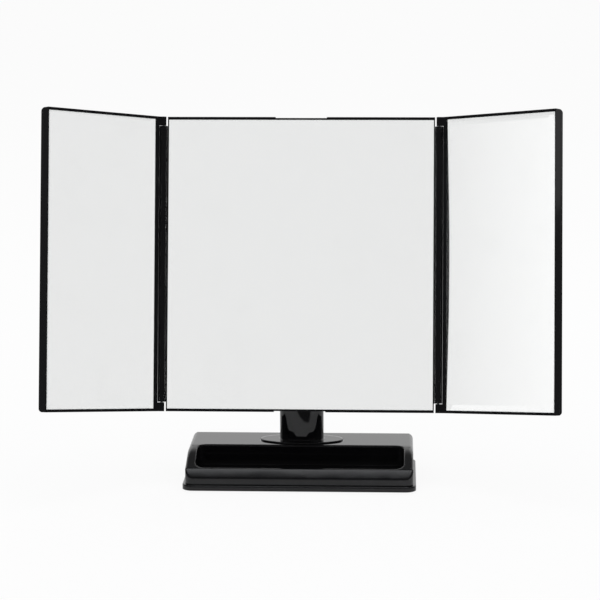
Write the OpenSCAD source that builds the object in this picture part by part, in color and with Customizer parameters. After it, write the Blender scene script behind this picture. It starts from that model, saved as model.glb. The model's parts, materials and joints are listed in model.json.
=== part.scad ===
// Trifold vanity mirror: a framed centre mirror with a hinged wing on each side, tilting on a
// post that stands on a weighted base with an open tray.
// X runs to the viewer's right, Y away from the viewer and Z up. The origin is the middle of
// the base's underside. Everything is drawn as it stands in use, with both wings part closed.

/* [Glass] */
// Width of the centre glass
center_glass_w = 165; // [120:1:220]
// Height of the three glasses
glass_h = 180; // [120:1:240]
// Thickness of the three glasses
glass_t = 3; // [2:0.5:4]
// Gap between a glass and the wall of its recess
glass_clear = 0.15; // [0.1:0.05:0.3]
// Radius of the hollow face of the magnifying right-hand glass
magnifier_r = 2600; // [2200:50:6000]
// Thickness of the adhesive foam behind each glass
foam_t = 0.8; // [0.5:0.1:1.5]
// Margin from the edge of a glass to the edge of its foam
foam_margin = 6; // [2:1:15]
// Depth of the glass faces below the front of the frames
glass_drop = 0.2; // [0.1:0.1:0.6]

/* [Frames] */
// Thickness of each panel with its back cover
panel_t = 8.8; // [8:0.2:12]
// Width of the black rim above and below a glass
rim_h = 1.6; // [1:0.1:4]
// Width of the black rim beside a glass
rim_w = 0.55; // [0.5:0.05:3]
// Width of a wing's rim next to its hinge
hinge_rim_w = 2.7; // [1:0.1:5]
// Thickness of the frame floor behind the foam
floor_t = 1.2; // [0.8:0.1:2]
// Wall of the back covers
cover_wall = 1.5; // [1:0.1:1.8]
// Rounding of the panels' back edges, top and bottom
back_round = 4.5; // [2:0.5:6]
// Rounding of the panels' back edges, left and right
side_round = 1.5; // [1:0.25:3]
// Width of the finger notches at the top and bottom of the centre frame
notch_w = 32; // [15:1:50]
// Depth of the finger notches
notch_d = 0.6; // [0.3:0.1:1]

/* [Wing hinges] */
// How far the left wing is swung forward from flat
left_swing = 42; // [0:1:90]
// How far the right wing is swung forward from flat
right_swing = 37; // [0:1:90]
// Radius of the hinge barrels on the centre frame
barrel_r = 2.6; // [2.2:0.1:3.2]
// Distance of the hinge lines in front of the frames' faces
hinge_lead = 0.3; // [0.2:0.05:0.6]
// Gap between a barrel and the edge of its wing
wing_gap = 0.4; // [0.3:0.05:0.8]
// Gap between the two wings when both are closed
meeting_gap = 0.5; // [0.4:0.1:2]
// Height of the wing ears above and below the barrels
ear_h = 5.6; // [4:0.2:10]
// Gap between an ear and the end of its barrel
ear_gap = 0.3; // [0.2:0.05:0.6]
// Radius of the ears' round tips
ear_r = 1.7; // [1.5:0.1:2.1]
// Radius of the hinge pins
pin_r = 0.8; // [0.6:0.05:1]
// Length of a hinge pin inside the barrel
pin_reach = 8; // [5:0.5:14]
// Depth of a pin's end below the outside of its ear
pin_sink = 0.5; // [0.2:0.1:1]
// Radial running clearance of the pins in the barrels
pin_run = 0.05; // [0.02:0.01:0.1]

/* [Tilt hinge] */
// Backward tilt of the mirror
tilt = 12; // [0:1:25]
// Height of the tilt pivot above the table
pivot_z = 104.6; // [100:0.5:130]
// Distance of the tilt pivot behind the base's middle
pivot_y = 8.4; // [0:0.2:14]
// Distance of the tilt pivot behind the frames' faces
pivot_back = 18; // [17.6:0.2:24]
// Height of the tilt pivot above the bottom of the panels
pivot_up = 62.2; // [45:0.2:75]
// Width of the bracket plate
bracket_w = 44; // [40:1:60]
// Height of the bracket plate
bracket_h = 30; // [24:1:44]
// Thickness of the bracket plate
bracket_t = 2; // [1.6:0.2:2.4]
// Rounding of the bracket plate's corners
bracket_round = 4; // [2:0.5:6]
// Thickness of each bracket lug
lug_t = 3; // [2.4:0.2:4]
// Radius of the bracket lugs round the pivot bolt
lug_r = 6.5; // [5:0.25:7]
// Gap between the lugs and the post's shoulders
shoulder_gap = 1; // [0.6:0.1:1]
// Radius of the pivot bolt
bolt_r = 2; // [1.5:0.1:2.5]
// Radial running clearance of the post on the pivot bolt
bolt_run = 0.06; // [0.02:0.01:0.1]
// Radius of the pivot bolt's head
bolt_head_r = 4; // [3.5:0.25:5]
// Height of the pivot bolt's head
bolt_head_h = 2.4; // [1.6:0.2:3.4]
// Width of the pivot nut across its flats
nut_af = 7; // [6.5:0.25:8]
// Height of the pivot nut
nut_h = 3.2; // [2.4:0.2:4]
// Thickness of the friction washers beside the post's head
washer_t = 0.5; // [0.3:0.1:1]
// Radius of the friction washers
washer_r = 5.5; // [4.5:0.25:6]
// Side play of each friction washer
washer_play = 0.05; // [0.02:0.01:0.1]
// Thickness of the spring washer under the nut
spring_t = 0.9; // [0.6:0.1:1.4]

/* [Post] */
// Width of the post
post_w = 27.8; // [24:0.2:34]
// Depth of the post at its foot
post_d = 17; // [16:0.5:20]
// Radius of the post's rounded sides
post_side_r = 7.75; // [6:0.25:7.75]
// Wall of the hollow post
post_wall = 2.2; // [1.6:0.2:3]
// Width of the post's head between the bracket lugs
head_w = 17.6; // [14:0.2:20]
// Radius of the post's head round the pivot
head_r = 6.3; // [5:0.1:6.4]
// Distance of the post's shoulders below the pivot
shoulder_drop = 9.5; // [8:0.5:16]
// Rounding of the post's shoulders
shoulder_round = 4; // [2:0.5:4.5]
// Width of the oval foot let into the base
foot_w = 52; // [44:1:64]
// Depth of the oval foot
foot_d = 24.5; // [18.5:0.5:25]
// Radius of the oval foot's round ends
foot_end_r = 7.5; // [4:0.25:8]
// Thickness of the oval foot
foot_t = 3; // [2:0.2:4]
// Height of the oval foot's top above the platform
foot_rise = 0.8; // [0.4:0.1:1.2]
// Distance of the foot's middle behind the base's middle
foot_y = 14; // [13.4:0.1:16]
// Gap round the foot in the base
foot_gap = 0.3; // [0.2:0.05:0.5]
// Spacing of the two screws that hold the foot
foot_screw_gap = 15; // [13:0.5:17]

/* [Base] */
// Width of the base
base_w = 145; // [135:1:180]
// Depth of the base
base_d = 74; // [70:1:90]
// Rounding of the shell's upright corners
corner_r = 5; // [3:0.5:8]
// Height of the plinth's top above the table
plinth_top = 3.8; // [3.4:0.2:6]
// Width of the plinth's ledge round the shell
ledge_w = 1.7; // [0.8:0.1:3]
// Height of the level platform behind the tray
platform_z = 21.1; // [20:0.5:26]
// Height of the sloping top at its front edge
front_z = 13.2; // [12:0.2:16]
// Slope of the top round the tray
slope = 20; // [16:0.5:22]
// Radius that blends the platform into the slope
blend_r = 60; // [40:5:80]
// Size of the bevel along the front
bevel = 4.8; // [3:0.1:6]
// Rounding of the shell's top edges, at the sides and behind
top_round = 3; // [1:0.25:4]
// Wall of the shell
shell_wall = 2; // [1.6:0.2:2.6]
// Thickness of the anti-slip pad
pad_t = 1; // [0.6:0.1:2]
// Depth that the pad is let into the plinth
pad_sink = 0.4; // [0.2:0.1:0.6]
// Margin from the edge of the plinth to the pad
pad_margin = 4; // [2:0.5:8]
// Length of the steel ballast bar
ballast_w = 100; // [60:1:104]
// Depth of the ballast bar
ballast_d = 20; // [12:1:21]
// Height of the ballast bar
ballast_h = 8; // [4:0.5:8.5]
// Height of the ribs that hold the ballast
rib_h = 2; // [1:0.5:4]
// Thickness of the ribs that hold the ballast
rib_t = 1.5; // [1:0.1:2.5]
// Gap between the ballast and its ribs
ballast_gap = 0.2; // [0.1:0.1:0.3]

/* [Tray] */
// Width of the tray's opening
tray_w = 130; // [100:1:132]
// Depth of the tray's opening
tray_d = 29.4; // [20:0.2:29.6]
// Rounding of the tray's corners
tray_r = 6; // [3:0.5:8]
// Height of the tray's floor above the table
tray_floor_z = 8; // [7.5:0.25:10]
// Width of the rim between the tray and the front bevel
tray_lip = 1; // [0.6:0.1:3]

/* [Screws] */
// Shank radius of the base, foot and bracket screws
screw_r = 1.5; // [1.2:0.1:1.6]
// Radius of a screw's head
screw_head_r = 2.8; // [2.4:0.1:3]
// Height of a screw's head
screw_head_h = 1.6; // [1.2:0.1:1.8]
// Gap round a screw where it passes through a hole
screw_clear = 0.2; // [0.1:0.05:0.3]
// Gap round a screw's thread where it bites
thread_gap = 0.02; // [0.01:0.01:0.05]
// Radius of the screw pillars
pillar_r = 3.6; // [3.4:0.1:4]
// Length of a base or foot screw above the part it holds
screw_bite = 8; // [6:0.5:10]

/* [Hidden] */
$fn = 96;
eps = 0.01;

// Panels, in the mirror's own frame: X across, Y back from the frames' faces, Z up from the
// bottom edge.
panel_h = glass_h + 2 * (glass_clear + rim_h);
recess_t = glass_drop + glass_t + foam_t;
frame_t = recess_t + floor_t;
center_half = center_glass_w / 2 + glass_clear + rim_w;
hinge_x = center_half + barrel_r;

// A wing, in its own frame: X out from the hinge line.
wing_in = barrel_r + wing_gap;
wing_out = hinge_x - meeting_gap / 2;
wing_glass_in = wing_in + hinge_rim_w + glass_clear;
wing_glass_out = wing_out - rim_w - glass_clear;
wing_glass_w = wing_glass_out - wing_glass_in;
dish_rings = 24;

// Tilt hinge, across the pivot bolt from the middle outwards.
washer_x = head_w / 2 + washer_play;
lug_x = washer_x + washer_t + washer_play;
lug_out_x = lug_x + lug_t;
lug_root = shoulder_drop - shoulder_gap;
bracket_screw_x = bracket_w / 2 - screw_head_r - 1.2;
bracket_screw_z = bracket_h / 2 - screw_head_r - 1.2;
bracket_screw_tip = recess_t + floor_t / 3;

// Post, in its own frame: Z along the post from the middle of the foot's top.
post_lean = atan2(foot_y - pivot_y, pivot_z - platform_z);
post_len = norm([foot_y - pivot_y, pivot_z - platform_z]);

// Base, in world coordinates.
shell_half_w = base_w / 2 - ledge_w;
shell_rear_y = base_d / 2 - ledge_w;
shell_front_y = -base_d / 2 + ledge_w;
bevel_top_y = shell_front_y + bevel;
blend_y = bevel_top_y + blend_r * sin(slope)
        + (platform_z - front_z - blend_r * (1 - cos(slope))) / tan(slope);
tray_front_y = bevel_top_y + tray_lip;
tray_y = tray_front_y + tray_d / 2;
tray_wall = 1.8;
foot_floor_z = platform_z - foot_t;
ballast_y = shell_rear_y - shell_wall - 2 - ballast_d / 2;
base_screw_x = shell_half_w - shell_wall - pillar_r - 0.4;
base_screw_rear_y = shell_rear_y - shell_wall - pillar_r - 0.4;
base_screw_front_y = tray_front_y + tray_d + tray_wall + pillar_r + 0.4;
plinth_z0 = pad_t - pad_sink;
screw_seat_z = pad_t + screw_head_h + 0.1;

black = [0.05, 0.05, 0.055];
silver = [0.86, 0.87, 0.88];
steel = [0.62, 0.63, 0.65];
dark_rubber = [0.09, 0.09, 0.09];
foam_white = [0.82, 0.82, 0.8];
fibre = [0.45, 0.16, 0.1];

// ---- Places ----

// From the mirror's own frame to the world: the mirror leans back on the tilt pivot.
module on_mirror() {
    translate([0, pivot_y, pivot_z]) rotate([-tilt, 0, 0])
        translate([0, -pivot_back, -pivot_up]) children();
}

// From a right wing's own frame to the world, swung forward by an angle.
module on_right_wing(swing) {
    on_mirror() translate([hinge_x, -hinge_lead, 0]) rotate([0, 0, -swing])
        translate([0, hinge_lead, 0]) children();
}

module on_left_wing(swing) {
    mirror([1, 0, 0]) on_right_wing(swing) children();
}

// From the post's own frame to the world.
module on_post() {
    translate([0, foot_y, platform_z]) rotate([post_lean, 0, 0]) children();
}

// ---- Outlines and plain shapes ----

// Extrudes a Y-Z outline along X, from x0 to x1.
module along_x(x0, x1) {
    translate([x0, 0, 0]) rotate([90, 0, 90]) linear_extrude(x1 - x0) children();
}

// Extrudes an X-Z outline along Y, from y0 to y1.
module along_y(y0, y1) {
    translate([0, y1, 0]) rotate([90, 0, 0]) linear_extrude(y1 - y0) children();
}

module rounded_rect(w, d, r) {
    square([w - 2 * r, d], center = true);
    square([w, d - 2 * r], center = true);
    for (x = [-1, 1], y = [-1, 1]) translate([x * (w / 2 - r), y * (d / 2 - r)]) circle(r);
}

// An oval of four arcs that meet smoothly: the ends have radius r and the long sides follow.
module oval(w, d, r) {
    a = w / 2 - r;
    big_r = (a * a + d * d / 4 - r * r) / (d - 2 * r);
    meet_x = a * big_r / (big_r - r);
    for (s = [-1, 1]) translate([s * a, 0]) circle(r);
    intersection() {
        translate([0, big_r - d / 2]) circle(big_r, $fn = 240);
        translate([0, d / 2 - big_r]) circle(big_r, $fn = 240);
        square([2 * meet_x, d + 2], center = true);
    }
}

// A flat outline from x0 to x1 and from y0 to y1, with its two corners at y1 rounded.
module back_rounded(x0, x1, y0, y1, r) {
    translate([x0, y0]) square([x1 - x0, y1 - y0 - r]);
    translate([x0 + r, y0]) square([x1 - x0 - 2 * r, y1 - y0]);
    for (x = [x0 + r, x1 - r]) translate([x, y1 - r]) circle(r);
}

// A screw that points up, with the underside of its head at z = 0.
module screw(length) {
    translate([0, 0, -screw_head_h]) cylinder(h = screw_head_h, r = screw_head_r);
    translate([0, 0, -eps]) cylinder(h = length + eps, r = screw_r);
}

// ---- Panels ----

// The outside of a panel from x0 to x1, made smaller by inset on every side but the front.
module panel_body(x0, x1, inset = 0) {
    side_r = max(side_round - inset, 0.4);
    end_r = max(back_round - inset, 0.4);
    y1 = panel_t - inset;
    intersection() {
        translate([0, 0, inset]) linear_extrude(panel_h - 2 * inset)
            back_rounded(x0 + inset, x1 - inset, 0, y1, side_r);
        along_x(x0, x1) mirror([1, -1]) back_rounded(inset, panel_h - inset, 0, y1, end_r);
    }
}

// The part of a panel between two depths.
module panel_slice(x0, x1, y0, y1) {
    intersection() {
        panel_body(x0, x1);
        translate([x0 - 1, y0, -1]) cube([x1 - x0 + 2, y1 - y0, panel_h + 2]);
    }
}

// The recess for a glass whose edges stand at x0 and x1, with the room round it.
module glass_recess(x0, x1) {
    translate([x0 - glass_clear, -1, rim_h])
        cube([x1 - x0 + 2 * glass_clear, recess_t + 1, panel_h - 2 * rim_h]);
}

module glass_plate(x0, x1) {
    translate([x0, glass_drop, rim_h + glass_clear]) cube([x1 - x0, glass_t, glass_h]);
}

module foam_sheet(x0, x1) {
    translate([x0 + foam_margin, glass_drop + glass_t, rim_h + glass_clear + foam_margin])
        cube([x1 - x0 - 2 * foam_margin, foam_t, glass_h - 2 * foam_margin]);
}

// A back cover: a shallow shell that closes the panel behind the frame floor.
module back_shell(x0, x1) {
    difference() {
        panel_slice(x0, x1, frame_t, panel_t);
        difference() {
            panel_body(x0, x1, cover_wall);
            translate([x0 - 1, -1, -1]) cube([x1 - x0 + 2, 1, panel_h + 2]);
        }
    }
}

// ---- Wing hinges ----

// Barrel on the right of the centre frame, with the web that carries it.
module barrel() {
    end = ear_h + ear_gap;
    difference() {
        translate([0, 0, end]) linear_extrude(panel_h - 2 * end) {
            translate([hinge_x, -hinge_lead]) circle(barrel_r);
            translate([center_half - rim_w / 2, 0])
                square([hinge_x - center_half + rim_w / 2, barrel_r - hinge_lead]);
        }
        for (z = [end - 1, panel_h - end - pin_reach])
            translate([hinge_x, -hinge_lead, z]) cylinder(h = pin_reach + 1, r = pin_r + pin_run);
    }
}

// An ear of a wing frame from z0 upwards: a tongue with a round tip on the hinge line.
module wing_ear(z0) {
    translate([0, 0, z0]) linear_extrude(ear_h) {
        translate([0, -hinge_lead]) circle(ear_r);
        polygon([[0, -hinge_lead - ear_r], [wing_in, 0], [wing_in + hinge_rim_w / 2, 0],
                 [wing_in + hinge_rim_w / 2, recess_t], [wing_in, recess_t],
                 [0, ear_r - hinge_lead]]);
    }
}

module wing_frame() {
    difference() {
        union() {
            panel_slice(wing_in, wing_out, 0, frame_t);
            for (z0 = [0, panel_h - ear_h]) wing_ear(z0);
        }
        glass_recess(wing_glass_in, wing_glass_out);
        translate([0, -hinge_lead, -1]) cylinder(h = ear_h + 2, r = pin_r + thread_gap);
        translate([0, -hinge_lead, panel_h - ear_h - 1])
            cylinder(h = ear_h + 2, r = pin_r + thread_gap);
    }
}

// A hinge pin: pressed into the lower or the upper ear, and running in the barrel.
module hinge_pin(upper) {
    length = ear_h - pin_sink + ear_gap + pin_reach - 0.5;
    z0 = upper ? panel_h - pin_sink - length : pin_sink;
    translate([0, -hinge_lead, z0]) cylinder(h = length, r = pin_r);
}

// ---- Base pieces ----

// Where the offset by d of a bend at v lies, between edges with outward normals n1 and n2.
function inset_corner(v, n1, n2, d) = v - d * (n1 + n2) / (1 + n1 * n2);

// Rounding of the top edges of the shell made smaller by d.
function shell_top_r(d) = max(top_round - d, 0.5);

// Side profile of the base shell as a Y-Z outline from z0 up, made smaller by d.
module shell_profile(z0, d) {
    slope_n = [-sin(slope), cos(slope)];
    bevel_n = [-sin(45), cos(45)];
    arc_c = [blend_y, platform_z - blend_r];
    arc_end = arc_c + (blend_r - d) * slope_n;
    bevel_top = inset_corner([bevel_top_y, front_z], slope_n, bevel_n, d);
    bevel_low = inset_corner([shell_front_y, front_z - bevel], bevel_n, [-1, 0], d);
    r = shell_top_r(d);
    rear = shell_rear_y - d;
    top = platform_z - d;
    translate([blend_y, z0]) square([rear - r - blend_y, top - z0]);
    translate([blend_y, z0]) square([rear - blend_y, top - r - z0]);
    translate([rear - r, top - r]) circle(r);
    intersection() {
        translate(arc_c) circle(blend_r - d, $fn = 360);
        translate([arc_end[0], z0]) square([blend_y - arc_end[0], platform_z]);
    }
    polygon([[arc_end[0], z0], arc_end, bevel_top, bevel_low, [bevel_low[0], z0]]);
}

module shell_outside(d = 0) {
    half_w = shell_half_w - d;
    z0 = d > 0 ? plinth_top - 1 : plinth_top;
    intersection() {
        linear_extrude(platform_z + 10)
            translate([0, (shell_rear_y + shell_front_y) / 2])
                rounded_rect(2 * half_w, shell_rear_y - shell_front_y - 2 * d,
                             max(corner_r - d, 0.5));
        along_x(-base_w, base_w) shell_profile(z0, d);
        along_y(-base_d, base_d)
            back_rounded(-half_w, half_w, z0, platform_z - d, shell_top_r(d));
    }
}

module tray_column(grow, z0) {
    translate([0, tray_y, z0]) linear_extrude(platform_z)
        rounded_rect(tray_w + 2 * grow, tray_d + 2 * grow, tray_r + grow);
}

module foot_column(grow, z0, h) {
    translate([0, foot_y, z0]) linear_extrude(h)
        oval(foot_w + 2 * grow, foot_d + 2 * grow, foot_end_r + grow);
}

// Calls its children at each of the four base screws.
module at_base_screws() {
    for (x = [-1, 1], y = [base_screw_front_y, base_screw_rear_y])
        translate([x * base_screw_x, y, 0]) children();
}

module at_foot_screws() {
    for (x = [-1, 1]) translate([x * foot_screw_gap / 2, foot_y, 0]) children();
}

module base_shell() {
    color(black) difference() {
        union() {
            difference() {
                shell_outside();
                shell_outside(shell_wall);
            }
            intersection() {
                shell_outside();
                union() {
                    tray_column(tray_wall, tray_floor_z - tray_wall);
                    foot_column(foot_gap + shell_wall, foot_floor_z - shell_wall, 20);
                    at_base_screws() translate([0, 0, plinth_top])
                        cylinder(h = platform_z, r = pillar_r);
                }
            }
        }
        tray_column(0, tray_floor_z);
        foot_column(foot_gap, foot_floor_z, 20);
        at_base_screws() translate([0, 0, plinth_top - 1])
            cylinder(h = screw_bite + 1.5, r = screw_r + thread_gap);
        at_foot_screws() translate([0, 0, foot_floor_z - shell_wall - 1])
            cylinder(h = shell_wall + 2, r = screw_r + screw_clear);
    }
}

module base_plinth() {
    color(black) difference() {
        union() {
            translate([0, 0, plinth_z0]) linear_extrude(plinth_top - plinth_z0)
                rounded_rect(base_w, base_d, corner_r + ledge_w);
            translate([0, ballast_y, plinth_top]) linear_extrude(rib_h) difference() {
                square([ballast_w + 2 * (ballast_gap + rib_t),
                        ballast_d + 2 * (ballast_gap + rib_t)], center = true);
                square([ballast_w + 2 * ballast_gap, ballast_d + 2 * ballast_gap],
                       center = true);
            }
        }
        translate([0, 0, plinth_z0 - 1]) linear_extrude(pad_sink + 1)
            rounded_rect(base_w - 2 * pad_margin, base_d - 2 * pad_margin, corner_r);
        at_base_screws() {
            translate([0, 0, plinth_z0]) cylinder(h = plinth_top, r = screw_r + screw_clear);
            translate([0, 0, plinth_z0]) cylinder(h = screw_seat_z - plinth_z0,
                                                  r = screw_head_r + screw_clear);
        }
    }
}

module anti_slip_pad() {
    color(dark_rubber) linear_extrude(pad_t)
        rounded_rect(base_w - 2 * pad_margin - 0.2, base_d - 2 * pad_margin - 0.2, corner_r);
}

module ballast_bar() {
    color(steel) translate([-ballast_w / 2, ballast_y - ballast_d / 2, plinth_top])
        cube([ballast_w, ballast_d, ballast_h]);
}

module base_screws() {
    color(steel) at_base_screws() translate([0, 0, screw_seat_z])
        screw(plinth_top - screw_seat_z + screw_bite);
}

// ---- Post ----

module post_outline() {
    side = post_d / 2;
    intersection() {
        translate([0, 0, -foot_t / 2]) linear_extrude(post_len + foot_t) oval(post_w, post_d,
                                                                           post_side_r);
        along_x(-post_w, post_w) polygon([[-side, -foot_t], [side, -foot_t],
                                          [head_r, post_len], [-head_r, post_len]]);
        along_y(-post_d, post_d) {
            back_rounded(-post_w / 2, post_w / 2, -foot_t, post_len - shoulder_drop,
                         shoulder_round);
            translate([-head_w / 2, 0]) square([head_w, post_len]);
        }
    }
}

module post() {
    color(black) difference() {
        union() {
            on_post() {
                post_outline();
                translate([-head_w / 2, 0, post_len]) rotate([0, 90, 0])
                    cylinder(h = head_w, r = head_r);
            }
            foot_column(0, foot_floor_z, foot_t + foot_rise);
        }
        difference() {
            on_post() translate([0, 0, -foot_t * 2])
                linear_extrude(post_len - shoulder_drop - shoulder_round + foot_t)
                    oval(post_w - 2 * post_wall, post_d - 2 * post_wall,
                         post_side_r - post_wall);
            at_foot_screws() translate([0, 0, foot_floor_z])
                cylinder(h = screw_bite + 3, r = pillar_r);
        }
        at_foot_screws() translate([0, 0, foot_floor_z - 1])
            cylinder(h = screw_bite + 1.5, r = screw_r + thread_gap);
        on_post() translate([-head_w / 2 - 1, 0, post_len]) rotate([0, 90, 0])
            cylinder(h = head_w + 2, r = bolt_r + bolt_run);
    }
}

module post_screws() {
    color(steel) at_foot_screws() translate([0, 0, foot_floor_z - shell_wall])
        screw(shell_wall + screw_bite);
}

// ---- Centre panel ----

module center_frame() {
    color(black) on_mirror() difference() {
        union() {
            panel_slice(-center_half, center_half, 0, frame_t);
            barrel();
            mirror([1, 0, 0]) barrel();
            at_bracket_screws() rotate([-90, 0, 0]) translate([0, 0, recess_t])
                cylinder(h = panel_t - cover_wall - recess_t, r = pillar_r);
        }
        glass_recess(-center_glass_w / 2, center_glass_w / 2);
        for (z = [-1, panel_h - notch_d])
            translate([-notch_w / 2, -1, z]) cube([notch_w, panel_t, notch_d + 1]);
        at_bracket_screws() rotate([-90, 0, 0]) translate([0, 0, bracket_screw_tip])
            cylinder(h = panel_t, r = screw_r + thread_gap);
    }
}

module center_glass() {
    color(silver) on_mirror() glass_plate(-center_glass_w / 2, center_glass_w / 2);
}

module center_foam() {
    color(foam_white) on_mirror() foam_sheet(-center_glass_w / 2, center_glass_w / 2);
}

module at_bracket_screws() {
    for (x = [-1, 1], z = [-1, 1])
        translate([x * bracket_screw_x, 0, pivot_up + z * bracket_screw_z]) children();
}

module center_back() {
    color(black) on_mirror() difference() {
        back_shell(-center_half, center_half);
        at_bracket_screws() rotate([-90, 0, 0]) cylinder(h = panel_t + 1,
                                                         r = screw_r + screw_clear);
        for (z = [-1, panel_h - notch_d])
            translate([-notch_w / 2, -1, z]) cube([notch_w, panel_t, notch_d + 1]);
    }
}

// ---- Tilt hinge ----

// One lug of the bracket as a Y-Z outline.
module lug_outline() {
    root_y = panel_t + bracket_t / 2;
    translate([pivot_back, pivot_up]) circle(lug_r);
    polygon([[root_y, pivot_up - lug_root], [panel_t + bracket_t, pivot_up - lug_root],
             [pivot_back, pivot_up - lug_r], [pivot_back, pivot_up + lug_r],
             [panel_t + bracket_t, pivot_up + lug_root], [root_y, pivot_up + lug_root]]);
}

module tilt_bracket() {
    color(steel) on_mirror() difference() {
        union() {
            translate([0, 0, pivot_up]) along_y(panel_t, panel_t + bracket_t)
                rounded_rect(bracket_w, bracket_h, bracket_round);
            along_x(lug_x, lug_out_x) lug_outline();
            along_x(-lug_out_x, -lug_x) lug_outline();
        }
        at_pivot() translate([0, 0, -lug_out_x - 1])
            cylinder(h = 2 * lug_out_x + 2, r = bolt_r + thread_gap);
        at_bracket_screws() rotate([-90, 0, 0]) cylinder(h = panel_t + bracket_t + 1,
                                                         r = screw_r + screw_clear);
    }
}

module bracket_screws() {
    color(steel) on_mirror() at_bracket_screws()
        translate([0, panel_t + bracket_t, 0]) rotate([90, 0, 0])
            screw(panel_t + bracket_t - bracket_screw_tip - 0.1);
}

// From a frame with Z along the pivot bolt to the mirror's own frame.
module at_pivot() {
    translate([0, pivot_back, pivot_up]) rotate([0, 90, 0]) children();
}

module pivot_bolt() {
    end = lug_out_x + spring_t + nut_h + 1.5;
    color(steel) on_mirror() at_pivot() {
        translate([0, 0, -lug_out_x - bolt_head_h]) cylinder(h = bolt_head_h, r = bolt_head_r);
        translate([0, 0, -lug_out_x - eps]) cylinder(h = lug_out_x + end, r = bolt_r);
    }
}

module pivot_nut() {
    color(steel) on_mirror() at_pivot() translate([0, 0, lug_out_x + spring_t])
        difference() {
            cylinder(h = nut_h, r = nut_af / 2 / cos(30), $fn = 6);
            translate([0, 0, -1]) cylinder(h = nut_h + 2, r = bolt_r + thread_gap);
        }
}

module ring(z0, t, r) {
    translate([0, 0, z0]) difference() {
        cylinder(h = t, r = r);
        translate([0, 0, -1]) cylinder(h = t + 2, r = bolt_r + thread_gap);
    }
}

module spring_washer() {
    color(steel) on_mirror() at_pivot() ring(lug_out_x, spring_t, nut_af / 2 + 0.4);
}

module friction_washers() {
    color(fibre) on_mirror() at_pivot()
        for (z0 = [washer_x, -washer_x - washer_t]) ring(z0, washer_t, washer_r);
}

// ---- Wings ----

module left_wing_frame() {
    color(black) on_left_wing(left_swing) wing_frame();
}

module left_wing_glass() {
    color(silver) on_left_wing(left_swing) glass_plate(wing_glass_in, wing_glass_out);
}

module left_wing_foam() {
    color(foam_white) on_left_wing(left_swing) foam_sheet(wing_glass_in, wing_glass_out);
}

module left_wing_back() {
    color(black) on_left_wing(left_swing) back_shell(wing_in, wing_out);
}

module left_upper_pin() {
    color(steel) on_left_wing(left_swing) hinge_pin(true);
}

module left_lower_pin() {
    color(steel) on_left_wing(left_swing) hinge_pin(false);
}

module right_wing_frame() {
    color(black) on_right_wing(right_swing) wing_frame();
}

// Depth of the hollow of the magnifying glass at a distance from its middle: zero at reach.
function hollow(r, reach) = (reach * reach - r * r) / (2 * magnifier_r);

// Half section of the tool that grinds the hollow, in rings.
module dish_outline(reach) {
    polygon([[0, -1], for (i = [0:dish_rings]) [reach * (1 - i / dish_rings),
                                                hollow(reach * (1 - i / dish_rings), reach)]]);
}

// The magnifying glass: its face is hollowed like part of a large sphere.
module right_wing_glass() {
    middle_x = (wing_glass_in + wing_glass_out) / 2;
    reach = norm([wing_glass_w, glass_h]) / 2;
    color(silver) on_right_wing(right_swing) difference() {
        glass_plate(wing_glass_in, wing_glass_out);
        translate([middle_x, glass_drop, panel_h / 2]) rotate([-90, 0, 0])
            rotate_extrude() dish_outline(reach);
    }
}

module right_wing_foam() {
    color(foam_white) on_right_wing(right_swing) foam_sheet(wing_glass_in, wing_glass_out);
}

module right_wing_back() {
    color(black) on_right_wing(right_swing) back_shell(wing_in, wing_out);
}

module right_upper_pin() {
    color(steel) on_right_wing(right_swing) hinge_pin(true);
}

module right_lower_pin() {
    color(steel) on_right_wing(right_swing) hinge_pin(false);
}

base_shell();
base_plinth();
anti_slip_pad();
ballast_bar();
base_screws();
post();
post_screws();
center_frame();
center_glass();
center_foam();
center_back();
tilt_bracket();
bracket_screws();
pivot_bolt();
pivot_nut();
spring_washer();
friction_washers();
left_wing_frame();
left_wing_glass();
left_wing_foam();
left_wing_back();
left_upper_pin();
left_lower_pin();
right_wing_frame();
right_wing_glass();
right_wing_foam();
right_wing_back();
right_upper_pin();
right_lower_pin();
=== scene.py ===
"""Looks of a trifold vanity mirror: gloss black mouldings, silvered glass, steel fasteners
and a plain studio.

Every length is in metres in the frame's own axes: X to the viewer's right, Y away, Z up from
the table.
"""

import json
import math

import bmesh
import bpy
import numpy as np
from bpy.props import FloatProperty, FloatVectorProperty, PointerProperty
from mathutils import Matrix, Vector


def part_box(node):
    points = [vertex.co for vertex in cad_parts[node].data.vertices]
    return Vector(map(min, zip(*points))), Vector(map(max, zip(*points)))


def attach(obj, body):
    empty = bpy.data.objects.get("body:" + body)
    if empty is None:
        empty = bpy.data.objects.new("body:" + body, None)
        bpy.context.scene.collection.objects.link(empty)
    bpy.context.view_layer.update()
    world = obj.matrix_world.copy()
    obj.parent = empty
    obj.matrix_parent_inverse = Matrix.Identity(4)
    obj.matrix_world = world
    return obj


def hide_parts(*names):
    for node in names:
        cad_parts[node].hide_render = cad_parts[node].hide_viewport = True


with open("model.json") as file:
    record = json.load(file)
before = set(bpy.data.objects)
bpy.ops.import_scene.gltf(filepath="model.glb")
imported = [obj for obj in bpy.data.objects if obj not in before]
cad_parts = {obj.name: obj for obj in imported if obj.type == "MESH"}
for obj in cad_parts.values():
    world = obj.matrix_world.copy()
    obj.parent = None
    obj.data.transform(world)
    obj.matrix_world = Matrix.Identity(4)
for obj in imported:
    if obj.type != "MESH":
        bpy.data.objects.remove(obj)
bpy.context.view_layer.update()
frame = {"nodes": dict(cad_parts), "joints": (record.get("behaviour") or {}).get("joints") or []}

bl_info = {
    "name": "Trifold vanity mirror",
    "version": (1, 0, 0),
    "blender": (4, 5, 0),
    "location": "3D View > Sidebar > Vanity mirror",
    "description": "Finishes the parts of a trifold vanity mirror and sets up its studio",
    "category": "Object",
}

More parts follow.
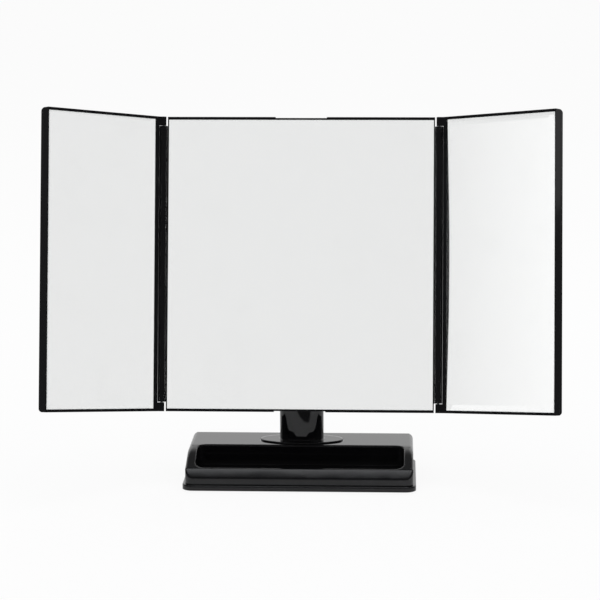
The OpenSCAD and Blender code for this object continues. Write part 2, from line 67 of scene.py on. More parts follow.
JOINTS = {joint["name"]: joint for joint in frame["joints"]}
BLACK_PARTS = {
    "frames": ["center_frame", "left_wing_frame", "right_wing_frame"],
    "covers": ["center_back", "left_wing_back", "right_wing_back"],
    "stand": ["base_shell", "base_plinth", "post"],
}
STEEL_PARTS = ["ballast_bar", "base_screws", "post_screws", "left_upper_pin", "left_lower_pin",
               "right_upper_pin", "right_lower_pin", "bracket_screws", "pivot_bolt", "pivot_nut",
               "spring_washer"]
FOAM_PARTS = ["center_foam", "left_wing_foam", "right_wing_foam"]


# ---- Sizes and colours that a user would change ----


class MirrorSizes(bpy.types.PropertyGroup):
    """Sizes of the pieces that are made here"""

    pivot_back: FloatProperty(
        name="Pivot back", description="Distance of the tilt pivot behind the frames' faces",
        default=0.018, unit="LENGTH")
    pivot_up: FloatProperty(
        name="Pivot up", description="Height of the tilt pivot above the bottom of the panels",
        default=0.0622, unit="LENGTH")
    clear_layer: FloatProperty(
        name="Clear layer", description="Thickness of the clear glass in front of the silver",
        default=0.00025, unit="LENGTH")
    silver_gap: FloatProperty(
        name="Silver gap", description="Gap between the clear layer and the silvered plate",
        default=0.00002, unit="LENGTH")
    ground_edge: FloatProperty(
        name="Ground edge", description="Width of the ground edge round each glass",
        default=0.0004, unit="LENGTH")
    magnifier_radius: FloatProperty(
        name="Magnifier radius", description="Radius of the hollow face of the right-hand glass",
        default=2.6, unit="LENGTH")
    base_edge: FloatProperty(
        name="Base edge", description="Rounding of the side edges of the base shell",
        default=0.0016, unit="LENGTH")
    tray_edge: FloatProperty(
        name="Tray edge", description="Rounding of the tray's lip and of the front edge",
        default=0.0004, unit="LENGTH")
    plinth_edge: FloatProperty(
        name="Plinth edge", description="Rounding of the plinth's edges",
        default=0.0006, unit="LENGTH")
    screw_head_radius: FloatProperty(
        name="Screw head radius", description="Radius of a bracket screw's head",
        default=0.0028, unit="LENGTH")
    screw_radius: FloatProperty(
        name="Screw radius", description="Radius of a bracket screw's shank",
        default=0.0015, unit="LENGTH")
    screw_head_height: FloatProperty(
        name="Screw head height", description="Height of a bracket screw's head",
        default=0.0016, unit="LENGTH")
    bolt_head_height: FloatProperty(
        name="Bolt head height", description="Height of the pivot bolt's head",
        default=0.0024, unit="LENGTH")
    bolt_radius: FloatProperty(
        name="Bolt radius", description="Radius of the pivot bolt over its thread",
        default=0.002, unit="LENGTH")
    thread_pitch: FloatProperty(
        name="Thread pitch", description="Distance from one thread of the pivot bolt to the next",
        default=0.0007, unit="LENGTH")
    thread_depth: FloatProperty(
        name="Thread depth", description="Depth of the thread of the pivot bolt",
        default=0.00035, unit="LENGTH")
    washer_slit: FloatProperty(
        name="Washer slit", description="Width of the slit in the spring washer",
        default=0.0008, unit="LENGTH")


class MirrorColours(bpy.types.PropertyGroup):
    """Colours of the finishes"""

    black: FloatVectorProperty(
        name="Gloss black", description="Colour of the moulded black parts",
        default=(0.0035, 0.0035, 0.0042), size=3, subtype="COLOR", min=0, max=1)
    silver: FloatVectorProperty(
        name="Silver", description="Colour of the silver behind the glass",
        default=(0.938, 0.935, 0.936), size=3, subtype="COLOR", min=0, max=1)
    ground_glass: FloatVectorProperty(
        name="Ground glass", description="Colour of the ground edges of the glass",
        default=(0.98, 1.0, 0.99), size=3, subtype="COLOR", min=0, max=1)
    zinc: FloatVectorProperty(
        name="Zinc", description="Colour of the zinc-plated steel",
        default=(0.58, 0.59, 0.61), size=3, subtype="COLOR", min=0, max=1)
    paint: FloatVectorProperty(
        name="Bracket paint", description="Colour of the painted tilt bracket",
        default=(0.018, 0.018, 0.02), size=3, subtype="COLOR", min=0, max=1)
    rubber: FloatVectorProperty(
        name="Rubber", description="Colour of the anti-slip pad",
        default=(0.022, 0.022, 0.022), size=3, subtype="COLOR", min=0, max=1)
    foam: FloatVectorProperty(
        name="Foam", description="Colour of the adhesive foam",
        default=(0.68, 0.68, 0.66), size=3, subtype="COLOR", min=0, max=1)
    fibre: FloatVectorProperty(
        name="Fibre", description="Colour of the friction washers",
        default=(0.27, 0.07, 0.045), size=3, subtype="COLOR", min=0, max=1)
    floor: FloatVectorProperty(
        name="Floor", description="Colour of the studio floor",
        default=(0.9, 0.9, 0.9), size=3, subtype="COLOR", min=0, max=1)


class StudioSettings(bpy.types.PropertyGroup):
    """Camera and light of the studio"""

    lens: FloatProperty(
        name="Lens", description="Focal length of the camera in millimetres", default=139.31)
    azimuth: FloatProperty(
        name="Azimuth", description="How far the camera stands to the viewer's right",
        default=math.radians(2.418), subtype="ANGLE")
    elevation: FloatProperty(
        name="Elevation", description="How far the camera looks down",
        default=math.radians(10.436), subtype="ANGLE")
    roll: FloatProperty(
        name="Roll", description="How far the camera leans to one side",
        default=math.radians(-0.150), subtype="ANGLE")
    distance: FloatProperty(
        name="Distance", description="Distance of the camera from the point it looks at",
        default=1.4497, unit="LENGTH")
    target: FloatVectorProperty(
        name="Target", description="The point that the camera looks at",
        default=(-0.0004, 0.0, 0.11416), size=3, subtype="TRANSLATION")
    room_light: FloatProperty(
        name="Room light", description="Strength of the soft light from all sides", default=0.72)
    softbox_power: FloatProperty(
        name="Softbox power", description="Power of the overhead softbox in watts", default=7.5)
    softbox_size: FloatProperty(
        name="Softbox size", description="Width of the overhead softbox", default=1.1,
        unit="LENGTH")
    softbox_height: FloatProperty(
        name="Softbox height", description="Height of the softbox above the table", default=1.6,
        unit="LENGTH")
    backdrop: FloatProperty(
        name="Backdrop", description="Brightness of the low backdrop in the gloss", default=0.95)
    dim: FloatProperty(
        name="Dim room", description="Brightness of the dark front of the room in the gloss",
        default=0.09)
    mirror_room: FloatProperty(
        name="Room in the mirrors", description="Brightness of the room seen in the mirrors",
        default=0.905)


# ---- Meshes ----


def grid_quads(rows, columns, closed_rows=False):
    """Corner numbers of the faces of a grid of points whose columns close on themselves:
    the face at (i, j) joins (i, j), (i, j + 1), (i + 1, j + 1) and (i + 1, j)."""
    i, j = np.meshgrid(np.arange(rows if closed_rows else rows - 1), np.arange(columns),
                       indexing="ij")
    i2, j2 = (i + 1) % rows, (j + 1) % columns
    return np.stack([i * columns + j, i * columns + j2, i2 * columns + j2, i2 * columns + j],
                    -1).reshape(-1, 4)


def signed_volume(points, quads, fans):
    """Volume inside a closed mesh: a sixth of the sum of a . (b x c) over its triangles."""
    corners = np.concatenate([quads[:, [0, 1, 2]], quads[:, [0, 2, 3]], fans])
    a, b, c = (points[corners[:, k]] for k in range(3))
    return np.einsum("ij,ij->", a, np.cross(b, c)) / 6


def make_piece(name, points, quads, fans, place, sharp=30):
    """A mesh object from arrays of points and faces, placed by a matrix, with its faces
    turned outwards and its edges sharp where they bend by more than an angle in degrees."""
    matrix = np.array(place)
    points = points @ matrix[:3, :3].T + matrix[:3, 3]
    if signed_volume(points - points.mean(0), quads, fans) < 0:
        quads, fans = quads[:, ::-1], fans[:, ::-1]
    mesh = bpy.data.meshes.new(name)
    mesh.from_pydata(points.tolist(), [], quads.tolist() + fans.tolist())
    mesh.shade_smooth()
    mesh.set_sharp_from_angle(angle=math.radians(sharp))
    mesh.update()
    piece = bpy.data.objects.new(name, mesh)
    bpy.context.scene.collection.objects.link(piece)
    return piece


def loft_faces(rings):
    """Points and faces of a closed skin over rings of points, an array of (ring, point, xyz),
    with a point in the middle of the first and the last ring that closes each end as a fan."""
    rows, columns = rings.shape[:2]
    ends = np.stack([rings[0].mean(0), rings[-1].mean(0)])
    points = np.concatenate([rings.reshape(-1, 3), ends])
    first, last = rows * columns, rows * columns + 1
    here = np.arange(columns)
    there = (here + 1) % columns
    start = np.stack([np.full(columns, first), there, here], -1)
    end = np.stack([np.full(columns, last), (rows - 1) * columns + here,
                    (rows - 1) * columns + there], -1)
    return points, grid_quads(rows, columns), np.concatenate([start, end])


def closed_loft(name, rings, place, sharp=30):
    """A piece that is one closed skin over rings of points."""
    return make_piece(name, *loft_faces(rings), place, sharp)


def copied(points, quads, fans, shifts):
    """Points and faces of a closed skin, repeated at each shift and joined."""
    count = len(points) * np.arange(len(shifts))[:, None, None]
    return ((points + np.array(shifts)[:, None, :]).reshape(-1, 3),
            (quads + count).reshape(-1, 4), (fans + count).reshape(-1, 3))


def closed_tube(name, rings, place, sharp=30):
    """A skin over rings of points that closes on itself both ways, like a tyre."""
    rows, columns = rings.shape[:2]
    return make_piece(name, rings.reshape(-1, 3), grid_quads(rows, columns, True),
                      np.zeros((0, 3), int), place, sharp)


# ---- Materials ----


def new_group(name, inputs, outputs):
    """A shader node group with its inputs and outputs, and its two end nodes."""
    group = bpy.data.node_groups.new(name, "ShaderNodeTree")
    for label, kind, default in inputs:
        socket = group.interface.new_socket(name=label, in_out="INPUT", socket_type=kind)
        socket.default_value = default
    for label, kind in outputs:
        group.interface.new_socket(name=label, in_out="OUTPUT", socket_type=kind)
    return group, group.nodes.new("NodeGroupInput"), group.nodes.new("NodeGroupOutput")


def math_node(tree, operation, *values):
    """A Math node whose inputs are numbers or sockets; gives its output socket."""
    node = tree.nodes.new("ShaderNodeMath")
    node.operation = operation
    for socket, value in zip(node.inputs, values):
        if isinstance(value, bpy.types.NodeSocket):
            tree.links.new(value, socket)
        else:
            socket.default_value = value
    return node.outputs[0]


def mix_colours(tree, factor, first, second):
    """A Mix node for colours; gives its output socket."""
    node = tree.nodes.new("ShaderNodeMix")
    node.data_type = "RGBA"
    for socket, value in ((node.inputs[0], factor), (node.inputs[6], first),
                          (node.inputs[7], second)):
        if isinstance(value, bpy.types.NodeSocket):
            tree.links.new(value, socket)
        else:
            socket.default_value = value
    return node.outputs[2]


def mix_floats(tree, factor, first, second):
    """A Mix node for numbers; gives its output socket."""
    node = tree.nodes.new("ShaderNodeMix")
    node.data_type = "FLOAT"
    for socket, value in zip(node.inputs[:1] + node.inputs[2:4], (factor, first, second)):
        if isinstance(value, bpy.types.NodeSocket):
            tree.links.new(value, socket)
        else:
            socket.default_value = value
    return node.outputs[0]


def noise(tree, vector, scale, detail=2.0, roughness=0.5):
    """A Noise Texture on a vector; gives its value socket."""
    node = tree.nodes.new("ShaderNodeTexNoise")
    tree.links.new(vector, node.inputs["Vector"])
    if isinstance(scale, bpy.types.NodeSocket):
        tree.links.new(scale, node.inputs["Scale"])
    else:
        node.inputs["Scale"].default_value = scale
    node.inputs["Detail"].default_value = detail
    node.inputs["Roughness"].default_value = roughness
    return node.outputs["Fac"]


def spread(tree, value, low, high, to_low=0.0, to_high=1.0, smooth=True):
    """Maps a value from one range to another, smoothly at both ends."""
    node = tree.nodes.new("ShaderNodeMapRange")
    node.interpolation_type = "SMOOTHSTEP" if smooth else "LINEAR"
    tree.links.new(value, node.inputs["Value"])
    for label, number in (("From Min", low), ("From Max", high), ("To Min", to_low),
                          ("To Max", to_high)):
        if isinstance(number, bpy.types.NodeSocket):
            tree.links.new(number, node.inputs[label])
        else:
            node.inputs[label].default_value = number
    return node.outputs["Result"]


def handling_marks():
    """Faint smears and dust on a polished surface. Smears are broad noise, dust is the peaks of
    fine noise. It gives a mask of the smears, the roughness with them, and a height."""
    name = "Handling marks"
    if name in bpy.data.node_groups:
        return bpy.data.node_groups[name]
    group, start, end = new_group(
        name,
        [("Polish", "NodeSocketFloat", 0.06), ("Smear", "NodeSocketFloat", 0.04),
         ("Waviness", "NodeSocketFloat", 1.0)],
        [("Smears", "NodeSocketFloat"), ("Roughness", "NodeSocketFloat"),
         ("Height", "NodeSocketFloat")])
    place = group.nodes.new("ShaderNodeTexCoord").outputs["Object"]
    smears = spread(group, noise(group, place, 38.0, 4.0, 0.6), 0.48, 0.78)
    dust = spread(group, noise(group, place, 2600.0, 1.0), 0.72, 0.8)
    rough = math_node(group, "MULTIPLY_ADD", smears, start.outputs["Smear"],
                      start.outputs["Polish"])
    rough = math_node(group, "MULTIPLY_ADD", dust, 0.12, rough)
    wave = math_node(group, "MULTIPLY", noise(group, place, 55.0, 1.0),
                     start.outputs["Waviness"])
    height = math_node(group, "MULTIPLY_ADD", dust, 0.02, wave)
    group.links.new(smears, end.inputs["Smears"])
    group.links.new(rough, end.inputs["Roughness"])
    group.links.new(height, end.inputs["Height"])
    return group


def fine_grain():
    """Fine grain of a moulded, painted or foamed surface: noise at the grain's own size mixed
    with a coarser mottle. It gives a mask and a height."""
    name = "Fine grain"
    if name in bpy.data.node_groups:
        return bpy.data.node_groups[name]
    group, start, end = new_group(
        name, [("Grains per metre", "NodeSocketFloat", 1500.0)],
        [("Mask", "NodeSocketFloat"), ("Height", "NodeSocketFloat")])
    place = group.nodes.new("ShaderNodeTexCoord").outputs["Object"]
    grain = noise(group, place, start.outputs["Grains per metre"], 2.0)
    mottle = noise(group, place, 60.0, 3.0)
    mask = math_node(group, "MULTIPLY_ADD", mottle, 0.5, math_node(group, "MULTIPLY", grain, 0.5))
    group.links.new(mask, end.inputs["Mask"])
    group.links.new(grain, end.inputs["Height"])
    return group


def place_group(tree, group, **values):
    """Places a node group in a material with its own values."""
    node = tree.nodes.new("ShaderNodeGroup")
    node.node_tree = group
    for label, value in values.items():
        node.inputs[label.replace("_", " ")].default_value = value
    return node


def new_material(name):
    """A material with its node tree and its Principled BSDF."""
    material = bpy.data.materials.new(name)
    material.use_nodes = True
    tree = material.node_tree
    return material, tree, tree.nodes["Principled BSDF"]


def rgba(colour, factor=1.0):
    return tuple(channel * factor for channel in colour) + (1.0,)


def bumped(tree, height, strength, distance, edge_radius=0.0):
    """A Bump node over rounded edges; gives the normal."""
    bump = tree.nodes.new("ShaderNodeBump")
    bump.inputs["Strength"].default_value = strength
    bump.inputs["Distance"].default_value = distance
    tree.links.new(height, bump.inputs["Height"])
    if edge_radius > 0:
        bevel = tree.nodes.new("ShaderNodeBevel")
        bevel.samples = 6
        bevel.inputs["Radius"].default_value = edge_radius
        tree.links.new(bevel.outputs["Normal"], bump.inputs["Normal"])
    return bump.outputs["Normal"]


def gloss_black(name, polish, smear, waviness, edge_radius):
    """Moulded gloss black plastic with soft edges, faint smears and a hint of sink."""
    material, tree, shader = new_material(name)
    marks = place_group(tree, handling_marks(), Polish=polish, Smear=smear, Waviness=waviness)
    black = bpy.context.scene.mirror_colours.black
    colour = mix_colours(tree, marks.outputs["Smears"], rgba(black), rgba(black, 1.6))
    tree.links.new(colour, shader.inputs["Base Color"])
    tree.links.new(marks.outputs["Roughness"], shader.inputs["Roughness"])
    normal = bumped(tree, marks.outputs["Height"], 0.1, 0.0002, edge_radius)
    tree.links.new(normal, shader.inputs["Normal"])
    return material


def grained(name, colour, grains, metallic, low, high, strength, distance, edge_radius=0.0):
    """A grained finish: colour and roughness follow the grain's mask, and so does the bump."""
    material, tree, shader = new_material(name)
    grain = place_group(tree, fine_grain(), Grains_per_metre=grains)
    mask = spread(tree, grain.outputs["Mask"], 0.35, 0.65)
    tree.links.new(mix_colours(tree, mask, rgba(colour, 0.85), rgba(colour, 1.12)),
                   shader.inputs["Base Color"])
    tree.links.new(spread(tree, mask, 0.0, 1.0, low, high, smooth=False),
                   shader.inputs["Roughness"])
    shader.inputs["Metallic"].default_value = metallic
    tree.links.new(bumped(tree, grain.outputs["Height"], strength, distance, edge_radius),
                   shader.inputs["Normal"])
    return material


def zinc_plate():
    """Zinc plate of the steel parts, built once."""
    name = "Zinc plate"
    if name in bpy.data.materials:
        return bpy.data.materials[name]
    return grained(name, bpy.context.scene.mirror_colours.zinc, 3000.0, 1.0, 0.22, 0.38, 0.1,
                   0.00005, 0.0001)


def silver_coat():
    """Silver behind the glass: a metal whose tone drifts very slightly, like a real coating."""
    material, tree, shader = new_material("Silver")
    marks = place_group(tree, handling_marks(), Polish=0.0, Smear=0.004, Waviness=0.0)
    silver = bpy.context.scene.mirror_colours.silver
    tree.links.new(mix_colours(tree, marks.outputs["Smears"], rgba(silver), rgba(silver, 0.995)),
                   shader.inputs["Base Color"])
    shader.inputs["Metallic"].default_value = 1.0
    shader.inputs["Roughness"].default_value = 0.0
    return material


def clear_glass():
    """The clear layer in front of the silver."""
    material, tree, shader = new_material("Clear glass")
    marks = place_group(tree, handling_marks(), Polish=0.0, Smear=0.0, Waviness=0.0)
    tree.links.new(mix_colours(tree, marks.outputs["Smears"], (0.995, 1.0, 0.998, 1.0),
                               (0.99, 0.995, 0.993, 1.0)), shader.inputs["Base Color"])
    shader.inputs["Transmission Weight"].default_value = 1.0
    shader.inputs["Roughness"].default_value = 0.0
    return material


def ground_glass():
    """The ground edge of a glass: clear glass that its grain makes dull."""
    material, tree, shader = new_material("Ground glass")
    grain = place_group(tree, fine_grain(), Grains_per_metre=2500.0)
    colour = bpy.context.scene.mirror_colours.ground_glass
    mask = spread(tree, grain.outputs["Mask"], 0.35, 0.65)
    tree.links.new(mix_colours(tree, mask, rgba(colour, 0.96), rgba(colour, 1.0)),
                   shader.inputs["Base Color"])
    tree.links.new(spread(tree, mask, 0.0, 1.0, 0.2, 0.32, smooth=False),
                   shader.inputs["Roughness"])
    tree.links.new(bumped(tree, grain.outputs["Height"], 0.1, 0.00005), shader.inputs["Normal"])
    shader.inputs["Transmission Weight"].default_value = 1.0
    return material


def put_finish(obj, material):
    """Gives one finish to every face of an object."""
    obj.data.materials.clear()
    obj.data.materials.append(material)


# ---- Places ----


def mirror_place():
    """From the mirror's own frame (X across, Y back from the frames' faces, Z up from the
    panels' bottom edge) to the world: it leans back on the tilt pivot."""
    sizes = bpy.context.scene.mirror_sizes
    axis = JOINTS["left_wing_hinge"]["axis"]
    tilt = math.atan2(axis[1], axis[2])
    return (Matrix.Translation(JOINTS["mirror_tilt"]["pos_m"]) @ Matrix.Rotation(-tilt, 4, "X")
            @ Matrix.Translation((0, -sizes.pivot_back, -sizes.pivot_up)))


def wing_place(side):
    """From a wing's own frame (X out from the hinge line) to the world. The hinge line comes
    from the joint, and a wing's swing forward of flat is its joint's travel back to flat."""
    joint = JOINTS[side + "_wing_hinge"]
    hinge = mirror_place().inverted() @ Vector(joint["pos_m"])
    swing = math.radians(-joint["range_deg"][0])
    outwards = -1 if side == "left" else 1
    return (mirror_place() @ Matrix.Scale(outwards, 4, (1, 0, 0))
            @ Matrix.Translation((abs(hinge.x), hinge.y, 0)) @ Matrix.Rotation(-swing, 4, "Z")
            @ Matrix.Translation((0, -hinge.y, 0)))


def box_in(place, node):
    """Lowest and highest corner of a CAD node in a piece's own frame."""
    points = np.empty(len(frame["nodes"][node].data.vertices) * 3)
    frame["nodes"][node].data.vertices.foreach_get("co", points)
    back = np.array(place.inverted())
    points = points.reshape(-1, 3) @ back[:3, :3].T + back[:3, 3]
    return points.min(0), points.max(0)


# ---- Glass ----


SIDE_POINTS = 24
FACE_RINGS = 25


def square_outline():
    """Points round a square from -1 to 1, evenly spaced along its sides."""
    run = np.linspace(-1, 1, SIDE_POINTS, endpoint=False)
    one = np.ones(SIDE_POINTS)
    return np.concatenate([np.stack([run, -one], -1), np.stack([one, run], -1),
                           np.stack([-run, one], -1), np.stack([-one, -run], -1)])


def hollow_depth(x, z, half, radius):
    """Depth of a hollow ground like part of a large sphere, which meets the plate's corners:
    (reach squared - distance from the middle squared) / (2 radius), and 0 for a flat plate."""
    if radius == 0:
        return np.zeros_like(x)
    return np.maximum(half @ half - x * x - z * z, 0) / (2 * radius)


def plate_rings(low, high, front, back, edge, radius, back_hollow):
    """Rings of a plate, from the middle of its face out over its ground edge, if it has one, to
    the middle of its back. Each is the plate's outline times a share of its size, at a depth
    behind the front that has the hollow added: all of it on the face, and a share on the back."""
    middle = (low + high) / 2
    half = (high - low)[[0, 2]] / 2
    outline = square_outline()
    shares = np.linspace(0.04, 1, FACE_RINGS)
    face = [(share * (half - edge) / half, 0.0, 1.0) for share in shares]
    if edge > 0:
        face.append((np.ones(2), 0.6 * (back - front), 1.0))
    rear = [(share * np.ones(2), back - front, back_hollow) for share in shares[::-1]]
    scale = np.array([ring[0] for ring in face + rear])[:, None, :]
    depth, follow = np.array([ring[1:] for ring in face + rear]).T[:, :, None]
    flat = outline[None] * half * scale
    hollow = hollow_depth(flat[..., 0], flat[..., 1], half, radius)
    return np.stack([flat[..., 0] + middle[0], front + depth + follow * hollow,
                     flat[..., 1] + middle[2]], -1)


class VANITY_OT_glass(bpy.types.Operator):
    """Three glasses, each a clear layer with a ground edge over a silvered plate"""

    bl_idname = "vanity.glass"
    bl_label = "Glasses"

    def execute(self, context):
        sizes = context.scene.mirror_sizes
        clear, ground, silver = clear_glass(), ground_glass(), silver_coat()
        panels = [("center", "mirror", mirror_place(), 0.0),
                  ("left_wing", "left_wing", wing_place("left"), 0.0),
                  ("right_wing", "right_wing", wing_place("right"), sizes.magnifier_radius)]
        for name, body, place, radius in panels:
            node = name + "_glass"
            low, high = box_in(place, node)
            seam = low[1] + sizes.clear_layer
            layer = closed_loft(name + "_clear_layer",
                                plate_rings(low, high, low[1], seam, sizes.ground_edge,
                                            radius, 1.0), place)
            put_finish(layer, clear)
            layer.data.materials.append(ground)
            around = 4 * SIDE_POINTS
            finish = np.zeros(len(layer.data.polygons), np.int32)
            finish[around * (FACE_RINGS - 1):around * (FACE_RINGS + 1)] = 1
            layer.data.polygons.foreach_set("material_index", finish)
            plate = closed_loft(name + "_silvered_plate",
                                plate_rings(low, high, seam + sizes.silver_gap, high[1], 0.0,
                                            radius, 0.0), place)
            put_finish(plate, silver)
            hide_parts(node)
            for piece in (layer, plate):
                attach(piece, body)
        return {"FINISHED"}


# ---- Base ----


# Faces that bend by less than FLAT are joined, edges over SHARP stay sharp, and outer edges over
# OUTER are rounded.
FLAT, SHARP, OUTER = math.radians(0.3), math.radians(20), math.radians(24)
# Strips of the shell, measured in from its box: beside the tray, along the front and the rear,
# and up from its lower edge, which stays as it is.
SHELL_SIDE, SHELL_FRONT, SHELL_REAR, SHELL_SKIRT = 0.0057, 0.008, 0.002, 0.004
# The same for the plinth, and how far its rounded edges may reach above the shell's lower edge.
PLINTH_SIDE, PLINTH_END, PLINTH_SKIRT, PLINTH_SEAM = 0.006, 0.0012, 0.002, 0.0003


def edge_bends(mesh, points):
    """How far each edge bends, in radians: the angle between the normals of its two faces,
    above 0 where (first normal x second normal) points the way that the first face runs along
    the edge, which is so on outer edges, and below 0 on inner ones."""
    vertex, edge = np.empty((2, len(mesh.loops)), np.int32)
    mesh.loops.foreach_get("vertex_index", vertex)
    mesh.loops.foreach_get("edge_index", edge)
    start, total = np.empty((2, len(mesh.polygons)), np.int32)
    mesh.polygons.foreach_get("loop_start", start)
    mesh.polygons.foreach_get("loop_total", total)
    normals = np.empty(len(mesh.polygons) * 3)
    mesh.polygons.foreach_get("normal", normals)
    corner_normals = np.repeat(normals.reshape(-1, 3), total, axis=0)
    following = np.arange(len(vertex)) + 1
    following[start + total - 1] = start
    run = points[vertex[following]] - points[vertex]
    first, second = np.argsort(edge, kind="stable").reshape(-1, 2).T
    turn = np.cross(corner_normals[first], corner_normals[second])
    bend = np.arctan2(np.linalg.norm(turn, axis=1),
                      np.einsum("ij,ij->i", corner_normals[first], corner_normals[second]))
    return bend * np.sign(np.einsum("ij,ij->i", turn, run[first]))


def rounded_copy(node, name, width, share):
    """A copy of a CAD part with rounded outer edges: its doubles are merged, its flat faces
    joined, and each edge that bends outwards by more than OUTER is bevelled by the width
    times its share, which a function gives from the edges' middles."""
    mesh = frame["nodes"][node].data.copy()
    mesh.name = name
    shape = bmesh.new()
    shape.from_mesh(mesh)
    bmesh.ops.remove_doubles(shape, verts=shape.verts, dist=1e-6)
    bmesh.ops.dissolve_limit(shape, angle_limit=FLAT, verts=shape.verts, edges=shape.edges)
    shape.to_mesh(mesh)
    shape.free()
    points = np.empty(len(mesh.vertices) * 3)
    mesh.vertices.foreach_get("co", points)
    points = points.reshape(-1, 3)
    ends = np.empty(len(mesh.edges) * 2, np.int32)
    mesh.edges.foreach_get("vertices", ends)
    middles = points[ends.reshape(-1, 2)].mean(1)
    outer = edge_bends(mesh, points) > OUTER
    weights = mesh.attributes.new("bevel_weight_edge", "FLOAT", "EDGE")
    weights.data.foreach_set("value", np.where(outer, share(middles), 0).astype(np.float32))
    mesh.shade_smooth()
    mesh.set_sharp_from_angle(angle=SHARP)
    piece = bpy.data.objects.new(name, mesh)
    bpy.context.scene.collection.objects.link(piece)
    bevel = piece.modifiers.new("Rounded edges", "BEVEL")
    bevel.width = width
    bevel.segments = 4
    bevel.limit_method = "WEIGHT"
    bevel.use_clamp_overlap = False
    weighted = piece.modifiers.new("Flat faces stay flat", "WEIGHTED_NORMAL")
    weighted.mode = "FACE_AREA"
    weighted.weight = 100
    weighted.keep_sharp = True
    return piece


class VANITY_OT_base(bpy.types.Operator):
    """Base shell and plinth with rounded edges, and a rounded lip round the tray"""

    bl_idname = "vanity.base"
    bl_label = "Base"

    def execute(self, context):
        sizes = context.scene.mirror_sizes
        low, high = (np.array(corner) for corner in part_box("base_shell"))
        plinth_low, plinth_high = (np.array(corner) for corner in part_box("base_plinth"))
        foot_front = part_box("post")[0][1]
        lip = sizes.tray_edge / sizes.base_edge

        def shell_share(middles):
            """All of the width at the sides, less at the tray's lip and the front, and none
            round the foot or along the lower edge."""
            x, y, z = middles.T
            side = np.abs(x) > high[0] - SHELL_SIDE
            around_foot = (y > foot_front) & (y < high[1] - SHELL_REAR) & ~side
            share = np.where(side & (y > low[1] + SHELL_FRONT), 1.0, lip)
            return np.where((z < low[2] + SHELL_SKIRT) | around_foot, 0.0, share)

        def plinth_share(middles):
            """All of the width on the ledge's outer edges, and none inside the shell."""
            x, y, z = middles.T
            outside = ((np.abs(x) > plinth_high[0] - PLINTH_SIDE)
                       | (np.abs(y) > plinth_high[1] - PLINTH_END))
            ledge = (z > plinth_low[2] + PLINTH_SKIRT) & (z < low[2] + PLINTH_SEAM)
            return (outside & ledge).astype(float)

        for node, name, width, share in (
                ("base_shell", "rounded_base_shell", sizes.base_edge, shell_share),
                ("base_plinth", "rounded_base_plinth", sizes.plinth_edge, plinth_share)):
            piece = rounded_copy(node, name, width, share)
            put_finish(piece, frame["nodes"][node].active_material)
            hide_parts(node)
            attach(piece, "stand")
        return {"FINISHED"}


# ---- Fasteners ----


# Length of the pivot bolt's thread, and how much wider than the bolt its nut and washer are.
THREADED, NUT_PLAY, WASHER_PLAY = 0.0055, 0.00002, 0.0002
ANGLES = np.linspace(0, 2 * np.pi, 96, endpoint=False)


def turned_rings(radii, heights):
    """Rings round the Z axis: at the angle a, a ring has the point (r cos a, r sin a, h), where
    its radius r and its height h are one number for the ring or one for each angle."""
    radius, height = (np.stack([np.broadcast_to(value, ANGLES.shape) for value in values])
                      for values in (radii, heights))
    return np.stack([radius * np.cos(ANGLES), radius * np.sin(ANGLES), height], -1)


def cross_outline(arm):
    """Radius of a cross recess at each angle: the larger of its two slots, where a slot's
    radius is the smaller of arm / |cos a| and width / |sin a|."""
    along, across = np.abs(np.cos(ANGLES)) + 1e-9, np.abs(np.sin(ANGLES)) + 1e-9
    width = arm * math.tan(math.radians(15))
    return np.maximum(np.minimum(arm / along, width / across),
                      np.minimum(arm / across, width / along))


def hexagon_outline(across_flats):
    """Radius of a hexagon at each angle: half its width / the cosine of the angle to a flat."""
    return across_flats / 2 / np.cos(ANGLES % (np.pi / 3) - np.pi / 6)


def pan_head(radius, height):
    """Radii and heights of the rings of a pan head whose underside is at 0: from the floor of
    its cross recess to the rim, out over a crown that drops with the square of the radius,
    round the edge as a quarter circle, and down the side."""
    cross, edge, dome = cross_outline(0.56 * radius), 0.25 * height, 0.2 * height
    out = [cross + (radius - edge - cross) * share for share in (0, 0.06, 0.3, 0.65, 1)]
    crown = [height - dome * (r / radius) ** 2 for r in out]
    turn = np.linspace(0, np.pi / 2, 6)[1:]
    round_off = crown[-1] - edge * (1 - np.cos(turn))[:, None]
    return ([0.5 * cross, 0.62 * cross, *out, *(radius - edge * (1 - np.sin(turn))), radius],
            [0.3 * height, 0.36 * height, *crown, *round_off, 0.0])


def shank(radius, length, threaded=0.0, pitch=1.0, depth=0.0):
    """Radii and heights of the rings of a shank below 0, with a chamfered tip. Towards the tip
    its thread takes from the radius depth times the triangle wave of height / pitch plus
    a / 360 degrees, and it starts over one pitch."""
    chamfer = 0.25 * radius
    heights = -np.concatenate([[0, length - threaded],
                               np.arange(length - threaded, length - chamfer, pitch / 8)[1:],
                               np.linspace(length - chamfer, length, 4)])
    radii = []
    for height in heights:
        wave = np.abs(2 * ((height / pitch + ANGLES / (2 * np.pi)) % 1) - 1)
        start = np.clip((-height - length + threaded) / pitch, 0, 1)
        radii.append(np.minimum(radius - depth * start * wave,
                                radius - max(0, chamfer - length - height)))
    return radii, heights


def screw_rings(head_radius, head_height, radius, length, **thread):
    """Rings of a screw along Z with its head on top: the pan head, then the shank."""
    parts = pan_head(head_radius, head_height), shank(radius, length, **thread)
    return turned_rings([*parts[0][0], *parts[1][0]], [*parts[0][1], *parts[1][1]])


